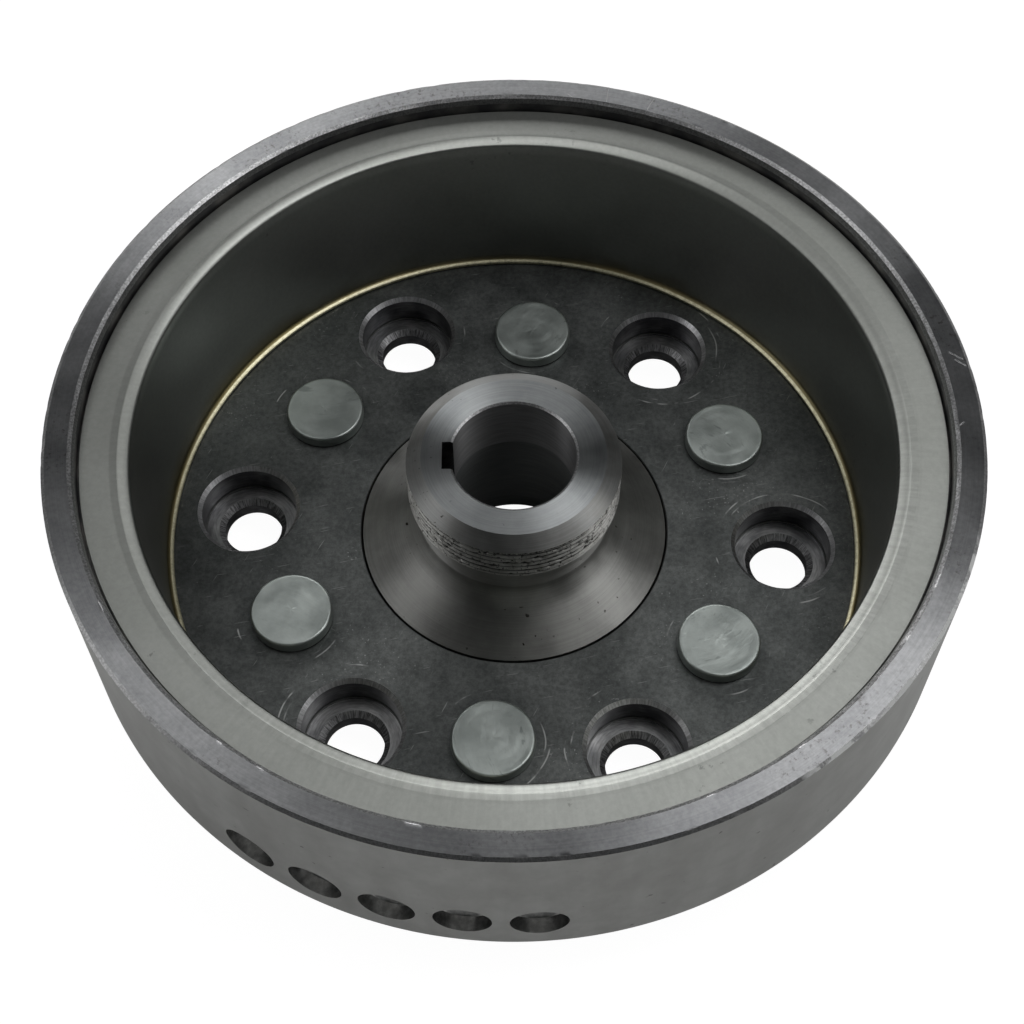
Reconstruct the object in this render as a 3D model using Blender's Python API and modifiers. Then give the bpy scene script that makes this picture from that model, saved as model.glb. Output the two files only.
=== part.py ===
"""Magneto flywheel (alternator rotor) for a small petrol engine.

A steel drum holds twelve hidden magnets behind a thin drawn liner. Six rivets clamp the drum's floor to
the flange of a tapered hub. Metres, +Z up towards the open side, origin on the axis at the hub's lower end.
"""

import math

import bmesh
import bpy
from mathutils import Matrix, Vector

OBJECT_NAME = "flywheel"
MM = 0.001

# Driving dimensions in millimetres. Heights are measured from the hub's lower end.
DRUM_RADIUS = 70.0
RIM_TOP = 44.5
FLOOR_TOP = 13.0
FLOOR_THICKNESS = 5.0
FLANGE_RADIUS = 54.0
FLANGE_BOTTOM = 3.8
HUB_TOP = 34.0
FIT_GAP = 0.3

# Drum wall: a wide mouth that takes the liner's lip, above a thicker wall that the magnets sit against.
MOUTH_RADIUS = 65.3
MAGNET_SEAT_RADIUS = 64.0
LIP_SEAT = 40.9
DRUM_CORNER_RADIUS = 6.3
HUB_HOLE_RADIUS = 25.0

# Hub: tapered bore, puller thread (a plain band here), undercut and flare.
BORE_MOUTH_RADIUS = 9.75
BORE_WIDE_RADIUS = 11.7
BORE_RELIEF_RADIUS = 12.5
TAPER_TOP = 23.4
THREAD_RADIUS = 16.75
THREAD_TOP = 32.4
THREAD_BOTTOM = 25.8
NECK_RADIUS = 15.6
SPIGOT_RADIUS = 22.0
KEY_WIDTH = 5.0
KEY_DEPTH = 1.35

# Fastener circles: six rivets, and six counterbored screw holes midway between them.
FASTENERS = 6
RIVET_CIRCLE = 39.0
SCREW_CIRCLE = 43.9
RIVET_ANGLE = 25.0
SCREW_ANGLE = 55.0
RIVET_HEAD_RADIUS = 6.5
RIVET_HEAD_HEIGHT = 2.3
RIVET_SHANK_RADIUS = 4.0
RIVET_TAIL_RADIUS = 6.0
COUNTERBORE_RADIUS = 8.0
SCREW_SEAT_RADIUS = 7.8
SCREW_SEAT_DEPTH = 0.6
SCREW_HOLE_RADIUS = 4.7

# Blind radial drillings that balance the drum.
BALANCE_HOLES = 5
BALANCE_RADIUS = 4.2
BALANCE_DEPTH = 2.2
BALANCE_HEIGHT = 21.1
BALANCE_MIDDLE_ANGLE = -105.2
BALANCE_STEP = 8.9
DRILL_POINT_ANGLE = 118.0

# Liner: sheet pressed into a lip, a rounded shoulder, a wall and a small inward foot.
LINER_THICKNESS = 0.6
LINER_LIP_RADIUS = 65.0
LINER_LIP_TOP = 41.8
LINER_WALL_RADIUS = 57.1
LINER_SHOULDER_RADIUS = 1.4
LINER_FOOT_RADIUS = 55.4
LINER_FOOT_BEND = 1.0

# Magnets and the moulded cage that spaces them.
MAGNETS = 12
MAGNET_INNER_RADIUS = 58.1
MAGNET_OUTER_RADIUS = MAGNET_SEAT_RADIUS - FIT_GAP
MAGNET_BOTTOM = 15.8
MAGNET_TOP = 38.6
CAGE_FINGER_ANGLE = 2.4
CAGE_RING_TOP = 15.5
CAGE_TOP = 39.4

DRUM_STEPS = 96
LINER_STEPS = 72
HUB_STEPS = 72
HOLE_STEPS = 24
CAGE_STEPS = 60
SECTOR_STEP_ANGLE = 4.0
CUT_OVERSHOOT = 1.0
SHARP_ANGLE = math.radians(35.0)


def clear_scene():
    for obj in list(bpy.data.objects):
        bpy.data.objects.remove(obj, do_unlink=True)


def new_collection(name):
    collection = bpy.data.collections.new(name)
    bpy.context.scene.collection.children.link(collection)
    return collection


def principled(name, colour, roughness, metallic=1.0):
    material = bpy.data.materials.new(name)
    material.use_nodes = True
    shader = material.node_tree.nodes["Principled BSDF"]
    shader.inputs["Base Color"].default_value = (*colour, 1.0)
    shader.inputs["Roughness"].default_value = roughness
    shader.inputs["Metallic"].default_value = metallic
    return material


def arc(centre_r, centre_z, radius, start, end, points):
    """Points of a profile's arc, with its angles in degrees from +X towards +Z."""
    angles = [math.radians(start + (end - start) * i / (points - 1)) for i in range(points)]
    return [(centre_r + radius * math.cos(a), centre_z + radius * math.sin(a)) for a in angles]


def profile_object(name, profile, collection, closed):
    """A profile in the XZ plane, as (radius, height) pairs in millimetres."""
    mesh = bpy.data.meshes.new(name)
    edges = [(i, i + 1) for i in range(len(profile) - 1)]
    if closed:
        edges.append((len(profile) - 1, 0))
    mesh.from_pydata([(r * MM, 0.0, z * MM) for r, z in profile], edges, [])
    obj = bpy.data.objects.new(name, mesh)
    collection.objects.link(obj)
    return obj


def turned(name, profile, steps, collection, closed=True):
    """A turned solid. A closed profile keeps clear of the axis; an open one starts and ends on it."""
    obj = profile_object(name, profile, collection, closed)
    screw = obj.modifiers.new("Screw", "SCREW")
    screw.axis = "Z"
    screw.angle = math.tau
    screw.steps = steps
    screw.render_steps = steps
    screw.use_merge_vertices = True
    screw.merge_threshold = 0.00001
    return obj


def as_cutter(obj):
    obj.hide_render = True
    obj.display_type = "WIRE"
    return obj


def cut(target, cutter):
    boolean = target.modifiers.new(cutter.name, "BOOLEAN")
    boolean.operation = "DIFFERENCE"
    boolean.solver = "EXACT"
    boolean.object = cutter


def copy_of(source, name, collection):
    """Another object that shares the source's mesh and has the same modifiers."""
    obj = source.copy()
    obj.name = name
    collection.objects.link(obj)
    return obj


def around_axis(obj, radius, degrees):
    """Puts an object on a circle about the main axis, turned to match its angle."""
    angle = math.radians(degrees)
    obj.location = (radius * MM * math.cos(angle), radius * MM * math.sin(angle), 0.0)
    obj.rotation_euler = (0.0, 0.0, angle)


def settle(obj, material):
    """Applies the modifiers, then shades the faces smooth with sharp corners kept."""
    bpy.context.view_layer.update()
    evaluated = obj.evaluated_get(bpy.context.evaluated_depsgraph_get())
    mesh = bpy.data.meshes.new_from_object(evaluated)
    mesh.name = obj.name
    obj.modifiers.clear()
    obj.data = mesh
    mesh.shade_smooth()
    mesh.set_sharp_from_angle(angle=SHARP_ANGLE)
    mesh.materials.clear()
    mesh.materials.append(material)


def drum_profile():
    floor_bottom = FLOOR_TOP - FLOOR_THICKNESS
    corner = arc(DRUM_RADIUS - DRUM_CORNER_RADIUS, floor_bottom + DRUM_CORNER_RADIUS,
                 DRUM_CORNER_RADIUS, 0.0, -90.0, 6)
    mouth_bevel = (0.5, 1.15)
    rim_bevel = (0.4, 0.8)
    return [
        (MOUTH_RADIUS, RIM_TOP - mouth_bevel[1]),
        (MOUTH_RADIUS + mouth_bevel[0], RIM_TOP),
        (DRUM_RADIUS - rim_bevel[0], RIM_TOP),
        (DRUM_RADIUS, RIM_TOP - rim_bevel[1]),
        *corner,
        (HUB_HOLE_RADIUS, floor_bottom),
        (HUB_HOLE_RADIUS, FLOOR_TOP),
        (MAGNET_SEAT_RADIUS, FLOOR_TOP),
        (MAGNET_SEAT_RADIUS, LIP_SEAT),
        (MOUTH_RADIUS, LIP_SEAT),
    ]


def hub_profile():
    flange_top = FLOOR_TOP - FLOOR_THICKNESS - FIT_GAP
    barrel_radius = HUB_HOLE_RADIUS - FIT_GAP
    edge = 0.5
    top_face_radius = 14.4
    neck_fillet = 2.0
    flare_start = 18.4
    relief_top = FLANGE_BOTTOM
    return [
        (BORE_MOUTH_RADIUS + edge, HUB_TOP),
        (top_face_radius, HUB_TOP),
        (THREAD_RADIUS, THREAD_TOP),
        (THREAD_RADIUS, THREAD_BOTTOM),
        (NECK_RADIUS, THREAD_BOTTOM - 0.6),
        (NECK_RADIUS, flare_start + neck_fillet),
        (NECK_RADIUS + 0.25 * neck_fillet, flare_start + 0.3 * neck_fillet),
        (NECK_RADIUS + neck_fillet, flare_start - 0.55 * neck_fillet),
        (barrel_radius, FLOOR_TOP),
        (barrel_radius, flange_top),
        (FLANGE_RADIUS - edge, flange_top),
        (FLANGE_RADIUS, flange_top - edge),
        (FLANGE_RADIUS, FLANGE_BOTTOM + edge),
        (FLANGE_RADIUS - edge, FLANGE_BOTTOM),
        (SPIGOT_RADIUS, FLANGE_BOTTOM),
        (SPIGOT_RADIUS, edge),
        (SPIGOT_RADIUS - edge, 0.0),
        (BORE_RELIEF_RADIUS, 0.0),
        (BORE_RELIEF_RADIUS, relief_top),
        (BORE_WIDE_RADIUS, relief_top + edge),
        (BORE_MOUTH_RADIUS, TAPER_TOP),
        (BORE_MOUTH_RADIUS, HUB_TOP - 1.8 * edge),
    ]


def rivet_profile():
    head_bottom = FLOOR_TOP + FIT_GAP
    head_top = FLOOR_TOP + RIVET_HEAD_HEIGHT
    tail_end = FLANGE_BOTTOM + FIT_GAP
    tail_length = RIVET_TAIL_RADIUS - RIVET_SHANK_RADIUS
    edge = 0.5
    rounded = arc(RIVET_HEAD_RADIUS - edge, head_top - edge, edge, 90.0, 0.0, 4)
    return [
        (0.0, head_top),
        *rounded,
        (RIVET_HEAD_RADIUS, head_bottom),
        (RIVET_SHANK_RADIUS, head_bottom),
        (RIVET_SHANK_RADIUS, tail_end + tail_length),
        (RIVET_TAIL_RADIUS, tail_end),
        (0.0, tail_end),
    ]


def rivet_hole_profile():
    """A clearance hole through floor and flange, countersunk on the flange's back for the rivet's tail."""
    radius = RIVET_SHANK_RADIUS + FIT_GAP
    top = FLOOR_TOP + CUT_OVERSHOOT
    bottom = FLANGE_BOTTOM - CUT_OVERSHOOT
    tail_top = FLANGE_BOTTOM + FIT_GAP + RIVET_TAIL_RADIUS - RIVET_SHANK_RADIUS
    slope_top = tail_top + FIT_GAP * (math.sqrt(2.0) - 1.0)
    return [
        (0.0, top),
        (radius, top),
        (radius, slope_top),
        (radius + slope_top - bottom, bottom),
        (0.0, bottom),
    ]


def screw_hole_profile():
    """A counterbore through the drum's floor, sunk a little into the flange, and a smaller chamfered hole."""
    flange_top = FLOOR_TOP - FLOOR_THICKNESS - FIT_GAP
    seat = flange_top - SCREW_SEAT_DEPTH
    mouth_bevel = 0.9
    hole_bevel = (1.2, 0.8)
    return [
        (0.0, FLOOR_TOP + CUT_OVERSHOOT),
        (COUNTERBORE_RADIUS + mouth_bevel + CUT_OVERSHOOT, FLOOR_TOP + CUT_OVERSHOOT),
        (COUNTERBORE_RADIUS, FLOOR_TOP - mouth_bevel),
        (COUNTERBORE_RADIUS, flange_top + 0.5 * FIT_GAP),
        (SCREW_SEAT_RADIUS, flange_top + 0.5 * FIT_GAP),
        (SCREW_SEAT_RADIUS, seat),
        (SCREW_HOLE_RADIUS + hole_bevel[0], seat),
        (SCREW_HOLE_RADIUS, seat - hole_bevel[1]),
        (SCREW_HOLE_RADIUS, FLANGE_BOTTOM - CUT_OVERSHOOT),
        (0.0, FLANGE_BOTTOM - CUT_OVERSHOOT),
    ]


def balance_hole_profile():
    """A drilled hole with a conical end. It is turned about its own axis, with its mouth at the top."""
    cone = BALANCE_RADIUS / math.tan(math.radians(DRILL_POINT_ANGLE / 2.0))
    return [
        (0.0, CUT_OVERSHOOT),
        (BALANCE_RADIUS, CUT_OVERSHOOT),
        (BALANCE_RADIUS, -BALANCE_DEPTH),
        (0.0, -BALANCE_DEPTH - cone),
    ]


def circle_cutters(name, profile, radius, start_angle, cutters):
    """Six equal cutters, each parallel to the main axis."""
    first = as_cutter(turned(f"{name}_1", profile, HOLE_STEPS, cutters, closed=False))
    made = [first] + [copy_of(first, f"{name}_{i + 1}", cutters) for i in range(1, FASTENERS)]
    for i, cutter in enumerate(made):
        around_axis(cutter, radius, start_angle + i * 360.0 / FASTENERS)
    return made


def balance_cutters(cutters):
    """Radial cutters in a row low on the drum's outer wall."""
    first = as_cutter(turned("balance_cut_1", balance_hole_profile(), HOLE_STEPS, cutters, closed=False))
    made = [first] + [copy_of(first, f"balance_cut_{i + 1}", cutters) for i in range(1, BALANCE_HOLES)]
    for i, cutter in enumerate(made):
        degrees = BALANCE_MIDDLE_ANGLE + (i - (BALANCE_HOLES - 1) / 2.0) * BALANCE_STEP
        around_axis(cutter, DRUM_RADIUS, degrees)
        cutter.location.z = BALANCE_HEIGHT * MM
        cutter.rotation_euler = (0.0, math.pi / 2.0, math.radians(degrees))
    return made


def keyway_cutter(cutters):
    """A slot on the -X side of the bore that runs parallel to the taper."""
    slope = (BORE_WIDE_RADIUS - BORE_MOUTH_RADIUS) / (TAPER_TOP - FLANGE_BOTTOM)
    inner = 0.6 * BORE_MOUTH_RADIUS
    depth_at_top = BORE_MOUTH_RADIUS + KEY_DEPTH
    depth_at_end = depth_at_top + slope * HUB_TOP
    thickness = depth_at_top - inner
    bpy.ops.mesh.primitive_cube_add(size=1.0)
    slot = bpy.context.object
    slot.name = "keyway_cut"
    for collection in list(slot.users_collection):
        collection.objects.unlink(slot)
    cutters.objects.link(slot)
    middle = -0.5 * (depth_at_top + depth_at_end) + 0.5 * thickness
    slot.location = (middle * MM, 0.0, 0.5 * HUB_TOP * MM)
    slot.rotation_euler = (0.0, math.atan(slope), 0.0)
    slot.scale = (thickness * MM, KEY_WIDTH * MM, (HUB_TOP + 8.0 * CUT_OVERSHOOT) * MM)
    return as_cutter(slot)


def build_drum(parts, material, cuts):
    drum = turned("rotor_shell", drum_profile(), DRUM_STEPS, parts)
    for cutter in cuts:
        cut(drum, cutter)
    settle(drum, material)


def build_hub(parts, material, cuts):
    hub = turned("hub", hub_profile(), HUB_STEPS, parts)
    for cutter in cuts:
        cut(hub, cutter)
    settle(hub, material)


def build_rivets(parts, material):
    first = turned("rivet_1", rivet_profile(), HOLE_STEPS, parts, closed=False)
    settle(first, material)
    for i in range(FASTENERS):
        rivet = first if i == 0 else copy_of(first, f"rivet_{i + 1}", parts)
        around_axis(rivet, RIVET_CIRCLE, RIVET_ANGLE + i * 360.0 / FASTENERS)


def build_liner(parts, material):
    """An open pressed surface, thickened away from the side that shows."""
    shoulder = arc(LINER_WALL_RADIUS + LINER_SHOULDER_RADIUS, LINER_LIP_TOP - LINER_SHOULDER_RADIUS,
                   LINER_SHOULDER_RADIUS, 90.0, 180.0, 5)
    foot_height = FLOOR_TOP + FIT_GAP + LINER_THICKNESS
    foot = arc(LINER_WALL_RADIUS - LINER_FOOT_BEND, foot_height + LINER_FOOT_BEND,
               LINER_FOOT_BEND, 0.0, -90.0, 4)
    path = [(LINER_LIP_RADIUS, LINER_LIP_TOP), *shoulder, *foot, (LINER_FOOT_RADIUS, foot_height)]
    liner = profile_object("magnet_liner", path, parts, closed=False)
    screw = liner.modifiers.new("Screw", "SCREW")
    screw.steps = LINER_STEPS
    screw.render_steps = LINER_STEPS
    screw.use_merge_vertices = True
    screw.merge_threshold = 0.00001
    solidify = liner.modifiers.new("Solidify", "SOLIDIFY")
    solidify.thickness = LINER_THICKNESS * MM
    solidify.offset = 1.0
    solidify.use_even_offset = True
    settle(liner, material)


def sector(name, inner, outer, bottom, top, span, collection):
    """A block bent around the main axis, centred on +X, with its cross-section swept through the span."""
    mesh = bpy.data.meshes.new(name)
    half = math.radians(span) / 2.0
    start = Matrix.Rotation(-half, 4, "Z")
    section = bmesh.new()
    corners = [(inner, bottom), (outer, bottom), (outer, top), (inner, top)]
    verts = [section.verts.new(start @ Vector((r * MM, 0.0, z * MM))) for r, z in corners]
    face = section.faces.new(verts)
    bmesh.ops.spin(section, geom=[face, *face.edges, *face.verts], axis=(0.0, 0.0, 1.0),
                   angle=2.0 * half, steps=round(span / SECTOR_STEP_ANGLE))
    bmesh.ops.recalc_face_normals(section, faces=section.faces)
    section.to_mesh(mesh)
    section.free()
    obj = bpy.data.objects.new(name, mesh)
    collection.objects.link(obj)
    return obj


def build_magnets(parts, material):
    gap_angle = math.degrees(FIT_GAP / MAGNET_INNER_RADIUS)
    span = 360.0 / MAGNETS - CAGE_FINGER_ANGLE - 2.0 * gap_angle
    first = sector("magnet_1", MAGNET_INNER_RADIUS, MAGNET_OUTER_RADIUS, MAGNET_BOTTOM, MAGNET_TOP,
                   span, parts)
    settle(first, material)
    for i in range(MAGNETS):
        magnet = first if i == 0 else copy_of(first, f"magnet_{i + 1}", parts)
        around_axis(magnet, 0.0, i * 360.0 / MAGNETS)


def build_cage(parts, cutters, material):
    """A ring with a pocket cut for each magnet, which leaves a base ring and twelve upright fingers."""
    bottom = FLOOR_TOP + FIT_GAP
    inner = MAGNET_INNER_RADIUS
    outer = MAGNET_OUTER_RADIUS
    ring = [(inner, CAGE_TOP), (outer, CAGE_TOP), (outer, bottom), (inner, bottom)]
    cage = turned("magnet_cage", ring, CAGE_STEPS, parts)
    pocket = as_cutter(sector("pocket_cut_1", inner - CUT_OVERSHOOT, outer + CUT_OVERSHOOT, CAGE_RING_TOP,
                              CAGE_TOP + CUT_OVERSHOOT, 360.0 / MAGNETS - CAGE_FINGER_ANGLE, cutters))
    for i in range(MAGNETS):
        cutter = pocket if i == 0 else copy_of(pocket, f"pocket_cut_{i + 1}", cutters)
        around_axis(cutter, 0.0, i * 360.0 / MAGNETS)
        cut(cage, cutter)
    settle(cage, material)


def main():
    clear_scene()
    parts = new_collection(OBJECT_NAME)
    cutters = new_collection("cutters")
    drum_steel = principled("drum_steel", (0.36, 0.36, 0.35), 0.38)
    hub_steel = principled("hub_steel", (0.45, 0.45, 0.44), 0.33)
    rivet_zinc = principled("rivet_zinc", (0.50, 0.54, 0.53), 0.42)
    liner_steel = principled("liner_steel", (0.55, 0.57, 0.54), 0.30)
    magnet_ferrite = principled("magnet_ferrite", (0.05, 0.05, 0.055), 0.65, metallic=0.2)
    cage_plastic = principled("cage_plastic", (0.03, 0.03, 0.03), 0.55, metallic=0.0)
    rivet_cuts = circle_cutters("rivet_cut", rivet_hole_profile(), RIVET_CIRCLE, RIVET_ANGLE, cutters)
    screw_cuts = circle_cutters("screw_cut", screw_hole_profile(), SCREW_CIRCLE, SCREW_ANGLE, cutters)
    build_drum(parts, drum_steel, rivet_cuts + screw_cuts + balance_cutters(cutters))
    build_hub(parts, hub_steel, rivet_cuts + screw_cuts + [keyway_cutter(cutters)])
    build_rivets(parts, rivet_zinc)
    build_liner(parts, liner_steel)
    build_magnets(parts, magnet_ferrite)
    build_cage(parts, cutters, cage_plastic)


main()
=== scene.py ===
import math

import bpy
from mathutils import Matrix, Vector, noise


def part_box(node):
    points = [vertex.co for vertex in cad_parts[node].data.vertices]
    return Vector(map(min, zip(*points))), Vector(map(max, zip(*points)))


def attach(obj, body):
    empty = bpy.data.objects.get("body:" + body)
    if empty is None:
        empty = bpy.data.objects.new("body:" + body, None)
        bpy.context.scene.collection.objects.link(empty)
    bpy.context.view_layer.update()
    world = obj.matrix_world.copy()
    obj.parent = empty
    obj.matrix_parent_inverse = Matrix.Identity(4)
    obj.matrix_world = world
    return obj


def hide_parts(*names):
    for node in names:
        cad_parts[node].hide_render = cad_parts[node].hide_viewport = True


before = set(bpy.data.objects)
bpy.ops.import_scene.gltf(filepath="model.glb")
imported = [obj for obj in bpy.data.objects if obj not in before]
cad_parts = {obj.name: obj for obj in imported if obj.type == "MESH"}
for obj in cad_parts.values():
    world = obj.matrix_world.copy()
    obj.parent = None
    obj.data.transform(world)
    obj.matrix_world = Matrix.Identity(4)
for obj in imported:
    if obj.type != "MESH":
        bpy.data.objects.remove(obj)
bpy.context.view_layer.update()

MM = 0.001

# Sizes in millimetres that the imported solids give.
DRUM_LOW, DRUM_HIGH = (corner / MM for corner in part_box("rotor_shell"))
HUB_LOW, HUB_HIGH = (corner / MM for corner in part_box("hub"))
LINER_LOW, LINER_HIGH = (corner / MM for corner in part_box("magnet_liner"))
RIVET_LOW, RIVET_HIGH = (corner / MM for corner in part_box("rivet_1"))
DRUM_RADIUS = DRUM_HIGH.x
RIM_TOP = DRUM_HIGH.z
DRUM_BOTTOM = DRUM_LOW.z
FLANGE_RADIUS = HUB_HIGH.x
HUB_TOP = HUB_HIGH.z
LIP_RADIUS = LINER_HIGH.x
LIP_TOP = LINER_HIGH.z
RIVET_TOP = RIVET_HIGH.z
RIVET_TAIL_END = RIVET_LOW.z
RIVET_CENTRE = (RIVET_LOW + RIVET_HIGH) / 2.0
RIVET_CIRCLE = math.hypot(RIVET_CENTRE.x, RIVET_CENTRE.y)
RIVET_ANGLE = math.degrees(math.atan2(RIVET_CENTRE.y, RIVET_CENTRE.x))

# Other sizes in millimetres.
FIT_GAP = 0.3
FLOOR_TOP = LINER_LOW.z - FIT_GAP
FLANGE_TOP = DRUM_BOTTOM - FIT_GAP
FLANGE_BOTTOM = RIVET_TAIL_END - FIT_GAP
MOUTH_RADIUS = LIP_RADIUS + FIT_GAP
LINER_THICKNESS = 0.6
LIP_SEAT = LIP_TOP - LINER_THICKNESS - FIT_GAP
MAGNET_SEAT_RADIUS = 64.0
DRUM_CORNER_RADIUS = 6.3
HUB_HOLE_RADIUS = 25.0
BARREL_RADIUS = HUB_HOLE_RADIUS - FIT_GAP

# Hub: bore with a 1 in 5 taper, puller thread, undercut and flare.
BORE_RADIUS = 9.75
BORE_WIDE_RADIUS = 11.7
BORE_RELIEF_RADIUS = 12.5
BORE_BEVEL = 0.35
BORE_BEVEL_HEIGHT = 0.75 * BORE_BEVEL
TAPER_TOP = 23.4
HUB_FACE_RADIUS = 14.4
THREAD_RADIUS = 16.75
THREAD_TOP = 32.4
THREAD_BOTTOM = 25.8
THREAD_PITCH = 1.1
THREAD_DEPTH = 0.32
THREAD_RING_STEP = 0.09
THREAD_GROOVE_WIDTH = 0.6
UNDERCUT_SLOPE = 0.6
NECK_RADIUS = 15.6
FLARE_START = 18.4
FLARE_FILLET = 2.0
# The fillet from neck to flare: outward and upward from the neck at FLARE_START, in fillet sizes.
FLARE_CURVE = ((0.0, 1.0), (0.07, 0.62), (0.25, 0.30), (0.58, -0.12), (1.0, -0.55))
SPIGOT_RADIUS = 22.0
KEY_WIDTH = 5.0
KEY_DEPTH = 1.35

# Screw holes and rivets.
FASTENERS = 6
SCREW_CIRCLE = 43.9
SCREW_ANGLE = RIVET_ANGLE + 180.0 / FASTENERS
COUNTERBORE_RADIUS = 7.8
SCREW_SEAT_RADIUS = 7.6
SCREW_SEAT_DEPTH = 0.3
SCREW_HOLE_RADIUS = 4.7
RIVET_HEAD_RADIUS = 6.5
RIVET_SHANK_RADIUS = 4.0
RIVET_TAIL_RADIUS = 6.0
RIVET_TAIL_TOP = RIVET_TAIL_END + RIVET_TAIL_RADIUS - RIVET_SHANK_RADIUS

# Balance drillings.
BALANCE_HOLES = 5
BALANCE_RADIUS = 4.2
BALANCE_DEPTH = 2.2
BALANCE_HEIGHT = 21.1
BALANCE_MIDDLE_ANGLE = -105.2
BALANCE_STEP = 8.9
DRILL_POINT_ANGLE = 118.0

# Liner.
WALL_RADIUS = 56.4
WALL_DRAFT = 1.15
SHOULDER_RADIUS = 0.6
SHOULDER_CROWN_RADIUS = 8.0
SHOULDER_TILTS = (24.0, 13.0)
SHOULDER_EDGE_RADIUS = 0.5
LIP_STEP = 0.28
LIP_STEP_RADII = (59.15, 60.5)
LIP_STEP_ANGLE = -60.0
# Where the painted shade on the lip is deepest.
LIP_DULL_ANGLE = -150.0
CHIPPED_ANGLE = -38.0
FOOT_RADIUS = 55.4
FOOT_BEND = 0.7
FOOT_TILT = 18.0

KNOCK_HALF_WIDTH = 0.07
# Knocks on the rim's face: angle, inner radius, outer radius, and how far the outer end is turned.
RIM_KNOCKS = (
    (81.0, 66.2, 66.9, 0.8),
    (76.0, 66.3, 69.1, 0.3),
    (70.0, 66.5, 69.2, -0.3),
    (9.6, 67.4, 69.0, -1.3),
    (8.3, 67.9, 69.2, -1.1),
    (-2.0, 66.3, 66.9, 0.5),
)

DRUM_STEPS = 720
LINER_STEPS = 540
HUB_STEPS = 360
HOLE_STEPS = 144
RIVET_STEPS = 96
CUT_OVERSHOOT = 1.0
SHARP_ANGLE = math.radians(32.0)
SAME_POINT = 1e-6
SAME_HEIGHT = 0.01

# Materials: where most of a noise lies, and the weight of a height against a radius in tool marks.
NOISE_RANGE = (0.3, 0.7)
HEIGHT_IN_MARKS = 0.7
QUARTER_TURN = 0.25

# Where the liner's looks fade into each other, in millimetres: two heights or two radii each.
WALL_FADE = (LIP_TOP - 3.0, LIP_TOP - 1.4)
OIL_FADE = (FLOOR_TOP + 1.5, FLOOR_TOP + 6.0)
GILT_FADE = (FLOOR_TOP + 1.1, FLOOR_TOP + 1.9)
FOOT_FADE = (FLOOR_TOP + 0.88, FLOOR_TOP + 0.96)
SHOULDER_FADE = (LIP_STEP_RADII[0], LIP_STEP_RADII[0] + 0.4)
SUNK_FADE = (LIP_STEP_RADII[1] - 0.2, LIP_STEP_RADII[1] + 0.2)
# The faint line at the step: its middle, half width and softness.
STEP_RING = (LIP_STEP_RADII[1] + 0.25, 0.10, 0.25)
# Painted shade: how dark the lip, its sunk part and the shoulder are made at the shade angle above.
LIP_DULL_TONES = (0.88, 0.76, 0.60)

# Dark and bright colour, roughness, stretch of highlights and strength of pits of each turned hub face.
HUB_FACES = {
    "hub_face": ((0.30, 0.315, 0.32), (0.41, 0.425, 0.43), 0.38, 0.95, 0.5),
    "hub_bevel": ((0.27, 0.27, 0.26), (0.38, 0.385, 0.38), 0.43, 0.92, 0.9),
    "neck": ((0.41, 0.41, 0.395), (0.55, 0.55, 0.535), 0.54, 0.95, 0.8),
    "flare": ((0.27, 0.27, 0.26), (0.40, 0.40, 0.385), 0.40, 0.92, 1.0),
    "flange": ((0.38, 0.38, 0.37), (0.50, 0.50, 0.49), 0.32, 0.6, 0.8),
}

LIGHT_DISTANCE = 0.9
# Name, azimuth, elevation, width and height in metres, and power of each light.
LIGHTS = (
    ("key_light", 15.0, 68.0, (0.42, 0.42), 1.34),
    ("fill_light", 155.0, 60.0, (0.42, 0.42), 0.5),
    ("right_light", -6.0, 34.0, (0.36, 0.75), 1.0),
    ("left_light", 186.0, 34.0, (0.36, 0.75), 0.75),
    ("back_light", 97.0, 33.0, (0.6, 0.26), 1.75),
)


# ---- outlines and turned meshes


def arc(centre_r, centre_z, radius, start, end, points):
    """Points of an outline's arc, with its angles in degrees from +X towards +Z."""
    angles = [math.radians(start + (end - start) * i / (points - 1)) for i in range(points)]
    return [(centre_r + radius * math.cos(a), centre_z + radius * math.sin(a)) for a in angles]


def flat_point(radius, degrees):
    return radius * math.cos(math.radians(degrees)), radius * math.sin(math.radians(degrees))


def fine(points, step):
    """The same outline with added points, so that none of its pieces is longer than step."""
    made = [points[0]]
    for (r0, z0), (r1, z1) in zip(points, points[1:]):
        count = max(1, math.ceil(math.hypot(r1 - r0, z1 - z0) / step))
        shares = [i / count for i in range(1, count + 1)]
        made += [(r0 + (r1 - r0) * share, z0 + (z1 - z0) * share) for share in shares]
    return made


def ripple(angle, height, per_turn, per_mm, seed):
    """Noise from -1 to 1 around the axis, without a seam. per_turn and per_mm set its detail."""
    place = Vector((math.cos(angle), math.sin(angle), 0.0)) * per_turn / math.tau
    place.z = height * per_mm
    return noise.noise(place + Vector((seed, 2.0 * seed, 0.5)))


def link(obj):
    bpy.context.scene.collection.objects.link(obj)


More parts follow.
